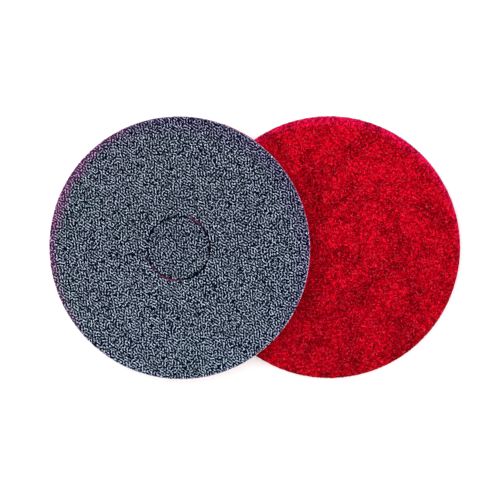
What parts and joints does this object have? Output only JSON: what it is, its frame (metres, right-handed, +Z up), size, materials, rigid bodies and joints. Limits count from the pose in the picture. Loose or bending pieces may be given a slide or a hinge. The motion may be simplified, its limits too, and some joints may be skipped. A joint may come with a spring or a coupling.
{
  "type": "rotary floor machine pad",
  "caption": "Double-sided round nonwoven floor pads, one lying partly over the other: slate grit face up in front, red web side up behind, each with a knock-out centre plug.",
  "frame": {"origin": "on the floor, at the middle of the pair's bounding box seen from above", "axes": "+X from the front pad to the back pad, +Y across them, away from the viewer, +Z up"},
  "size_m": [0.7956, 0.508, 0.0703],
  "materials": {
    "slate_grit_face": "coarse nonwoven fibre with dark voids, coated with slate resin and grit",
    "purple_bond": "resin-soaked fibre, dull purple-magenta",
    "red_web": "fine open nonwoven fibre, dull, with darker crimson mottling"
  },
  "bodies": {
    "back_pad": {"back_face_layer": "slate_grit_face", "back_bond_layer": "purple_bond", "back_web": "red_web"},
    "back_plug": {"back_plug_face": "slate_grit_face", "back_plug_bond": "purple_bond", "back_plug_web": "red_web"},
    "front_pad": {"front_face_layer": "slate_grit_face", "front_bond_layer": "purple_bond", "front_web": "red_web"},
    "front_plug": {"front_plug_face": "slate_grit_face", "front_plug_bond": "purple_bond", "front_plug_web": "red_web"}
  },
  "joints": [
    {"name": "front_pad_lift", "type": "slide", "parent": "back_pad", "child": "front_pad", "axis": [0, 0, 1], "range_m": [0, 0.15]},
    {"name": "front_plug_push", "type": "slide", "parent": "front_pad", "child": "front_plug", "axis": [-0.0896, 0, 0.996], "range_m": [0, 0.045]},
    {"name": "back_plug_push", "type": "slide", "parent": "back_pad", "child": "back_plug", "axis": [0, 0, 1], "range_m": [-0.045, 0.012]}
  ]
}
